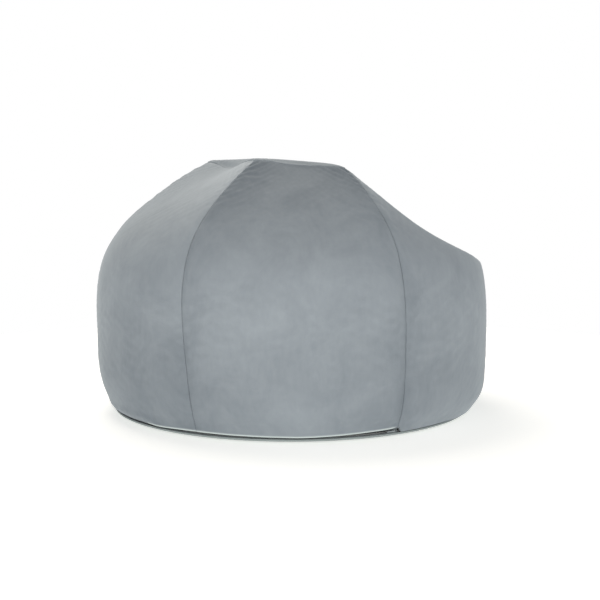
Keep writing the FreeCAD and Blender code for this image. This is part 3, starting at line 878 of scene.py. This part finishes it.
coil_tree = coil_nodes()
for prefix, radius, height, start, end, size, reach_up, reach_down in ZIPS:
    for row, side, reach in (("upper", 1, reach_up), ("lower", -1, reach_down)):
        coil = from_nodes(f"{prefix}_{row}_nylon_coil", coil_tree, {
            "Arc radius": radius, "Arc height": height + side * COIL_OFFSET * size,
            "Arc start": math.radians(start + COIL_MARGIN),
            "Arc sweep": math.radians(end - start - 2 * COIL_MARGIN),
            "Pitch": COIL_PITCH * size, "Loop width": (COIL_WIDTH - 2 * COIL_WIRE) * size,
            "Wire": COIL_WIRE * size, "Material": nylon})
        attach(coil, "bag")
        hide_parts(f"{prefix}_{row}_coil")
        near = height + side * size * (COIL_OFFSET + COIL_WIDTH / 2 + 0.0001)
        far = height + side * reach
        tape = tape_piece(f"{prefix}_{row}_woven_tape", radius + TAPE_THICKNESS / 2,
                          min(near, far), max(near, far), start, end)
        tape.data.materials.append(webbing)
        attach(tape, "bag")
        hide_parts(f"{prefix}_{row}_tape")

for name in ("zip_stops", "zip_slider", "zip_pull", "liner_zip_stops", "liner_zip_slider"):
    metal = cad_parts[name]
    metal.data.materials.clear()
    metal.data.materials.append(painted)


# ---------------------------------------------------------------------------------------------------
# Floor, light and camera: a white studio sweep, a large soft light from the upper left, and a camera low
# behind the bag's right shoulder.

FLOOR_RADIUS = 1.7
floor_mesh = bpy.data.meshes.new("studio_floor")
rim = [(FLOOR_RADIUS * math.cos(turn / 48 * math.pi), FLOOR_RADIUS * math.sin(turn / 48 * math.pi), 0)
       for turn in range(96)]
floor_mesh.from_pydata(rim, [], [list(range(96))])
floor = bpy.data.objects.new("studio_floor", floor_mesh)
bpy.context.scene.collection.objects.link(floor)
paper, tree = new_material("matt_white_paper")
set_surface(tree, {"Base Color": linear("#f7f7f7"), "Roughness": 1.0, "Specular IOR Level": 0.0,
                   "Emission Color": linear("#fffffa"), "Emission Strength": 0.465})
floor.data.materials.append(paper)

world = bpy.data.worlds.new("studio")
bpy.context.scene.world = world
world.use_nodes = True
sky = world.node_tree
sky.nodes.clear()
direction = add_node(sky, "ShaderNodeTexCoord").outputs["Generated"]
upwards = add_node(sky, "ShaderNodeSeparateXYZ", {}, {0: direction}).outputs["Z"]
fading = add_node(sky, "ShaderNodeMapRange", {}, {"Value": upwards, "From Min": 0.15, "From Max": 0.75,
                                                  "To Min": 1.0, "To Max": 0.10})
walls = add_node(sky, "ShaderNodeBackground", {}, {"Color": linear("#ffffff"),
                                                   "Strength": fading.outputs[0]})
add_node(sky, "ShaderNodeOutputWorld", {}, {"Surface": walls.outputs[0]})
bpy.context.scene.view_settings.view_transform = "Standard"

AIM = Vector((0.0150, -0.0328, 0.2700))
VIEW_AZIMUTH, VIEW_ELEVATION, VIEW_DISTANCE = math.radians(150), math.radians(6.2), 3.05
LENS = 70.1


def toward(azimuth, elevation):
    """The direction at an angle round the vertical axis and an angle above the floor."""
    return Vector((math.cos(azimuth) * math.cos(elevation), math.sin(azimuth) * math.cos(elevation),
                   math.sin(elevation)))


def soft_light(name, side, elevation, distance, size, power, colour):
    """A square area light at an angle to the camera's right, aimed at the bag."""
    data = bpy.data.lights.new(name, "AREA")
    data.size, data.energy, data.color = size, power, linear(colour)[:3]
    light = bpy.data.objects.new(name, data)
    bpy.context.scene.collection.objects.link(light)
    direction = toward(VIEW_AZIMUTH + math.radians(side), math.radians(elevation))
    light.location = AIM + direction * distance
    light.rotation_euler = direction.to_track_quat("Z", "Y").to_euler()
    light.visible_camera = False


soft_light("high_left", -148, 60, 2.8, 2.2, 55, "#fff8ee")
soft_light("low_left", -15, 12, 2.8, 1.8, 15, "#fffdfb")
soft_light("low_right", 25, 12, 2.8, 1.8, 11.5, "#fffdfb")
soft_light("side_right", 105, 25, 2.8, 1.8, 7.5, "#ffffff")

camera_data = bpy.data.cameras.new("camera")
camera_data.lens = LENS
camera_data.sensor_width = 36
camera = bpy.data.objects.new("camera", camera_data)
bpy.context.scene.collection.objects.link(camera)
view_direction = toward(VIEW_AZIMUTH, VIEW_ELEVATION)
camera.location = AIM + view_direction * VIEW_DISTANCE
camera.rotation_euler = view_direction.to_track_quat("Z", "Y").to_euler()
bpy.context.scene.camera = camera
